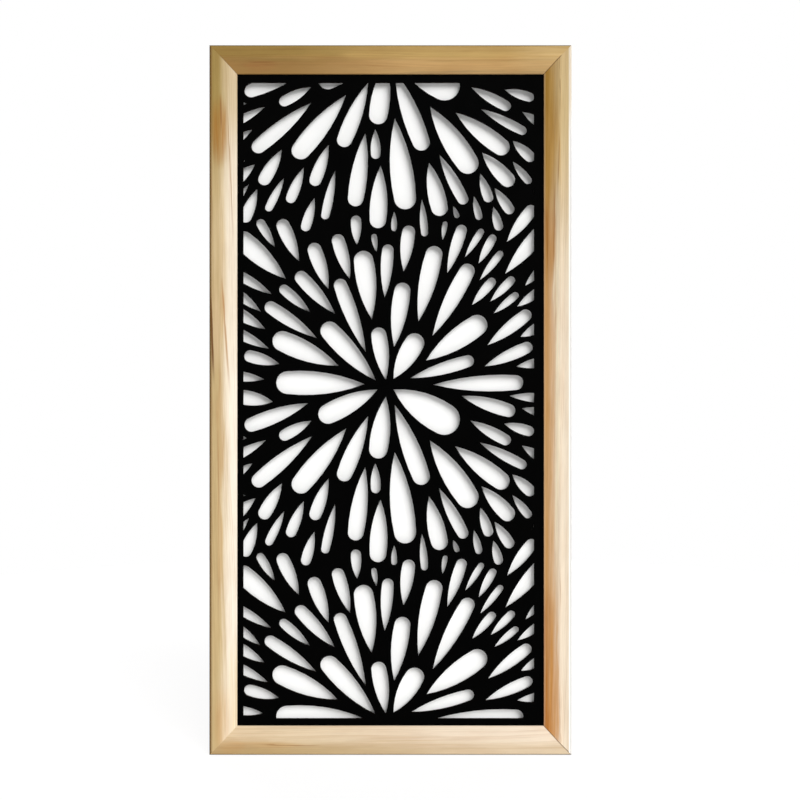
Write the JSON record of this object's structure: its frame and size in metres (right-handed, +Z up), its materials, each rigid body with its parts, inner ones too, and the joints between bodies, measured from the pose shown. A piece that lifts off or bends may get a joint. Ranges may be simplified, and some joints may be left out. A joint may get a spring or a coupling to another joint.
{
  "type": "decorative wood wall panel",
  "caption": "Tall wall panel: a mitred pine frame round a black sheet fret-cut with bursts of teardrop petals over a white backing board, with D-rings to hang it.",
  "frame": {"origin": "in the plane of the wall, midway between the two wall hooks, at the height where the turned-up D-rings bear on them", "axes": "+Z up, +Y into the wall, so the front faces -Y, and +X to the right as seen from the front"},
  "size_m": [0.61, 0.0363, 1.195],
  "materials": {
    "pine": "clear satin varnish",
    "black_fretwork": "matte black",
    "white_board": "matte white",
    "spacer_wood": "bare softwood",
    "zinc_plate": "zinc plated",
    "steel": "zinc plated",
    "rubber": "matte grey"
  },
  "bodies": {
    "frame": {"top_rail": "pine", "bottom_rail": "pine", "left_stile": "pine", "right_stile": "pine", "corner_nails": "steel", "fret_panel": "black_fretwork", "top_spacer": "spacer_wood", "bottom_spacer": "spacer_wood", "left_spacer": "spacer_wood", "right_spacer": "spacer_wood", "backing_board": "white_board", "turn_button_screws": "steel", "left_strap": "zinc_plate", "right_strap": "zinc_plate", "strap_screws": "steel", "left_bumper": "rubber", "right_bumper": "rubber"},
    "button_left_top": {"turn_button_left_top": "zinc_plate"},
    "button_left_middle": {"turn_button_left_middle": "zinc_plate"},
    "button_left_bottom": {"turn_button_left_bottom": "zinc_plate"},
    "button_right_top": {"turn_button_right_top": "zinc_plate"},
    "button_right_middle": {"turn_button_right_middle": "zinc_plate"},
    "button_right_bottom": {"turn_button_right_bottom": "zinc_plate"},
    "button_top": {"turn_button_top": "zinc_plate"},
    "button_bottom": {"turn_button_bottom": "zinc_plate"},
    "d_ring_left": {"left_ring": "steel"},
    "d_ring_right": {"right_ring": "steel"}
  },
  "joints": [
    {"name": "turn_left_top", "type": "hinge", "parent": "frame", "child": "button_left_top", "pos_m": [-0.279, -0.00533, -0.10333], "axis": [0, 1, 0], "continuous": true},
    {"name": "turn_left_middle", "type": "hinge", "parent": "frame", "child": "button_left_middle", "pos_m": [-0.279, -0.00533, -0.5081], "axis": [0, 1, 0], "continuous": true},
    {"name": "turn_left_bottom", "type": "hinge", "parent": "frame", "child": "button_left_bottom", "pos_m": [-0.279, -0.00533, -0.91287], "axis": [0, 1, 0], "continuous": true},
    {"name": "turn_right_top", "type": "hinge", "parent": "frame", "child": "button_right_top", "pos_m": [0.279, -0.00533, -0.10333], "axis": [0, 1, 0], "continuous": true},
    {"name": "turn_right_middle", "type": "hinge", "parent": "frame", "child": "button_right_middle", "pos_m": [0.279, -0.00533, -0.5081], "axis": [0, 1, 0], "continuous": true},
    {"name": "turn_right_bottom", "type": "hinge", "parent": "frame", "child": "button_right_bottom", "pos_m": [0.279, -0.00533, -0.91287], "axis": [0, 1, 0], "continuous": true},
    {"name": "turn_top", "type": "hinge", "parent": "frame", "child": "button_top", "pos_m": [0, -0.00533, 0.0634], "axis": [0, 1, 0], "continuous": true},
    {"name": "turn_bottom", "type": "hinge", "parent": "frame", "child": "button_bottom", "pos_m": [0, -0.00533, -1.0796], "axis": [0, 1, 0], "continuous": true},
    {"name": "swing_left_ring", "type": "hinge", "parent": "frame", "child": "d_ring_left", "pos_m": [-0.2875, -0.00328, -0.0106], "axis": [1, 0, 0], "range_deg": [0, 180]},
    {"name": "swing_right_ring", "type": "hinge", "parent": "frame", "child": "d_ring_right", "pos_m": [0.2875, -0.00328, -0.0106], "axis": [1, 0, 0], "range_deg": [0, 180]}
  ]
}
